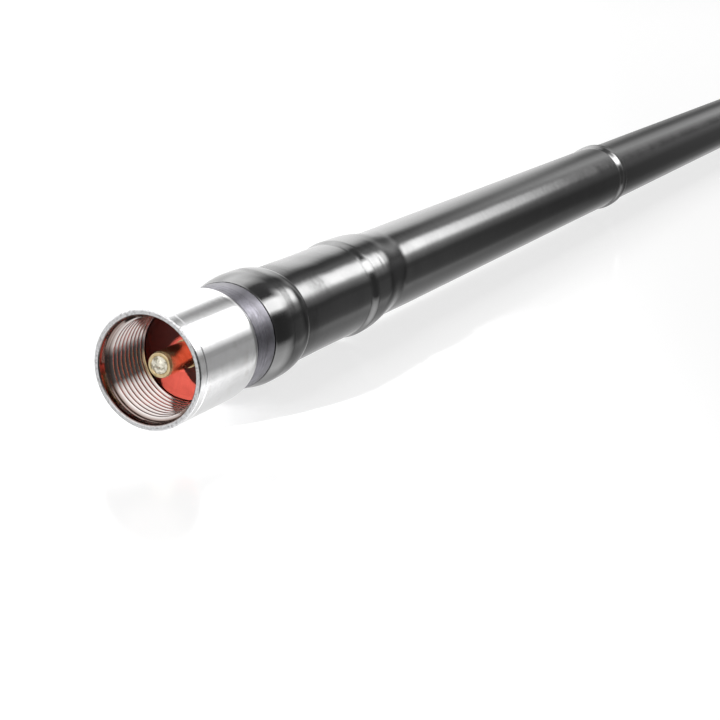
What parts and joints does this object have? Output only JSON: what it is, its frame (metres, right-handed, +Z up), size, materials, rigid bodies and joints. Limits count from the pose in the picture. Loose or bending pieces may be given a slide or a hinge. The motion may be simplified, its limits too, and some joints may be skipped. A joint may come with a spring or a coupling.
{
  "type": "mobile radio antenna",
  "caption": "Wound glass-fibre whip antenna in black heat-shrink sleeves on a screw-on coaxial plug whose coupling shell turns freely.",
  "frame": {"origin": "centre of the coupling shell's mouth, where the mating socket enters", "axes": "+X along the antenna from the plug's mouth to the tip, +Z up as it lies on a table"},
  "size_m": [0.49, 0.0186, 0.0186],
  "materials": {
    "shell_chrome": "polished chrome plate on turned brass",
    "pin_gilt": "gilt plate, polished",
    "solder": "bright solder",
    "insulator_red": "satin moulding",
    "insulator_white": "turned bush",
    "body_nickel": "nickel plate on turned brass",
    "collar_dark": "dark satin plating with turned rings",
    "seal_rubber": "matte",
    "ferrule_brass": "turned",
    "glass_fibre": "wound glass fibre in resin",
    "former_nylon": "moulded",
    "tinned_copper": "tinned",
    "enamelled_copper": "enamelled",
    "ceramic": "dipped ceramic",
    "steel": "zinc-plated",
    "sleeve_black": "gloss heat-shrink sleeve",
    "cap_black": "satin moulding"
  },
  "bodies": {
    "antenna": {"centre_pin": "pin_gilt", "pin_solder": "solder", "insulator_disc": "insulator_red", "rear_insulator": "insulator_white", "plug_body": "body_nickel", "neck_collar": "collar_dark", "seal_ring": "seal_rubber", "base_ferrule": "ferrule_brass", "coil_housing": "glass_fibre", "coil_former": "former_nylon", "input_terminal": "tinned_copper", "output_terminal": "tinned_copper", "matching_coil": "enamelled_copper", "shunt_capacitor": "ceramic", "feed_lead": "tinned_copper", "output_lead": "tinned_copper", "rod_ferrule": "ferrule_brass", "grub_screws": "steel", "core_rod": "glass_fibre", "radiator_winding": "enamelled_copper", "winding_band": "tinned_copper", "upper_sleeve": "sleeve_black", "base_sleeve": "sleeve_black", "tip_cap": "cap_black"},
    "coupling": {"coupling_shell": "shell_chrome"}
  },
  "joints": [
    {"name": "coupling_spin", "type": "hinge", "parent": "antenna", "child": "coupling", "pos_m": [0.0164, 0, 0], "axis": [1, 0, 0], "continuous": true}
  ]
}
